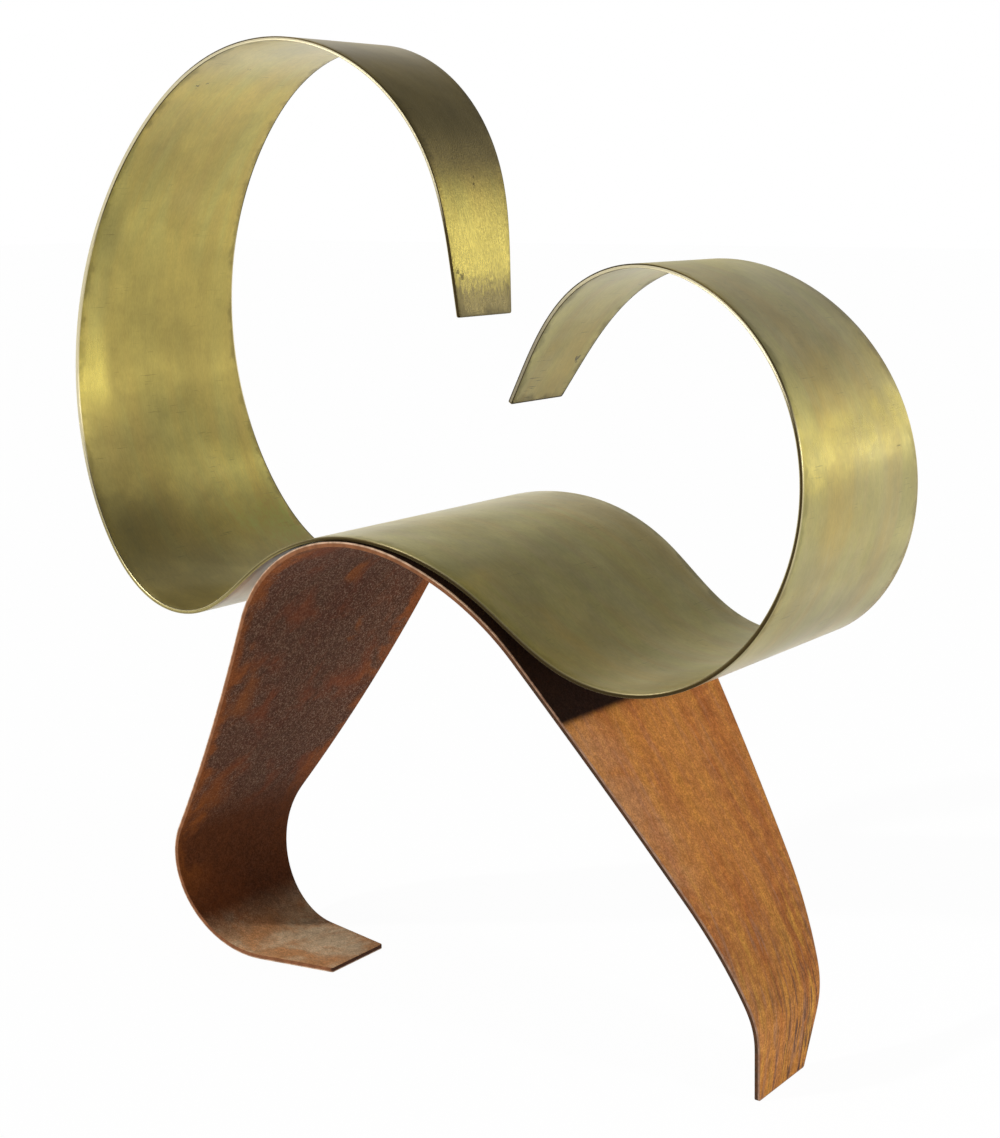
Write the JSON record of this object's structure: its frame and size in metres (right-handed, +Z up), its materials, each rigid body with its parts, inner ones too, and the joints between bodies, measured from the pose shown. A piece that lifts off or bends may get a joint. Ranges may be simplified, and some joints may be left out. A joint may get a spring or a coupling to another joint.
{
  "type": "abstract metal sculpture",
  "caption": "Abstract sculpture: a tapering patinated brass band rolled into open loops, seated on a bent band of rusted steel with a flat toe and a standing foot.",
  "frame": {"origin": "on the floor, under the middle of the overall box", "axes": "+Z up, +X from the tall loop towards the small loop, +Y along the width of the plates, away from the side the picture shows"},
  "size_m": [1.0446, 0.4252, 1.1849],
  "materials": {
    "brass": "brushed satin brass with an olive-brown patina, brighter where it is rubbed, paler worn edges",
    "weathering_steel": "matt rust, orange-brown on the outside with lengthwise streaks, dark maroon-brown with fine speckle on the inside"
  },
  "bodies": {
    "root": {"brass_band": "brass", "steel_stand": "weathering_steel"}
  },
  "joints": []
}
